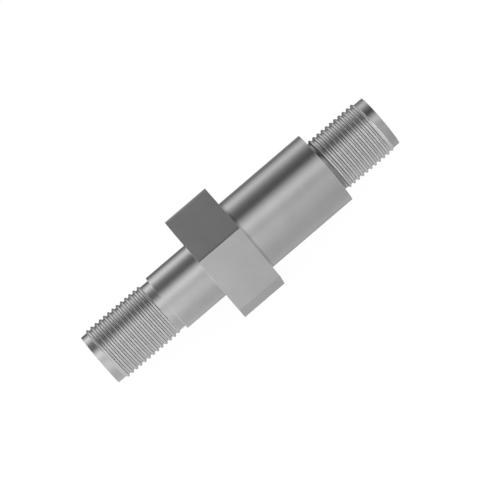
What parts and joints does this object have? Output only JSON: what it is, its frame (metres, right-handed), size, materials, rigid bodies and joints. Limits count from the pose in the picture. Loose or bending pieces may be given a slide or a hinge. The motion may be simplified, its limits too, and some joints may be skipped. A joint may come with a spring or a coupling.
{
  "type": "hex nipple",
  "caption": "Hex nipple: straight-through steel fitting, plain hexagon between two stepped shanks, parallel male thread and face sealing ring at each end.",
  "frame": {"origin": "on the fitting's axis, half way between the two end faces", "axes": "+X along the axis towards the end with the thicker, longer shank; +Z is the normal of one flat of the hexagon, and the hexagon's corners lie on the Y axis"},
  "size_m": [0.1212, 0.044, 0.0382],
  "materials": {
    "steel": "satin, as turned",
    "seal_rubber": "matte"
  },
  "bodies": {
    "root": {"nipple_body": "steel", "left_face_seal": "seal_rubber", "right_face_seal": "seal_rubber"}
  },
  "joints": []
}
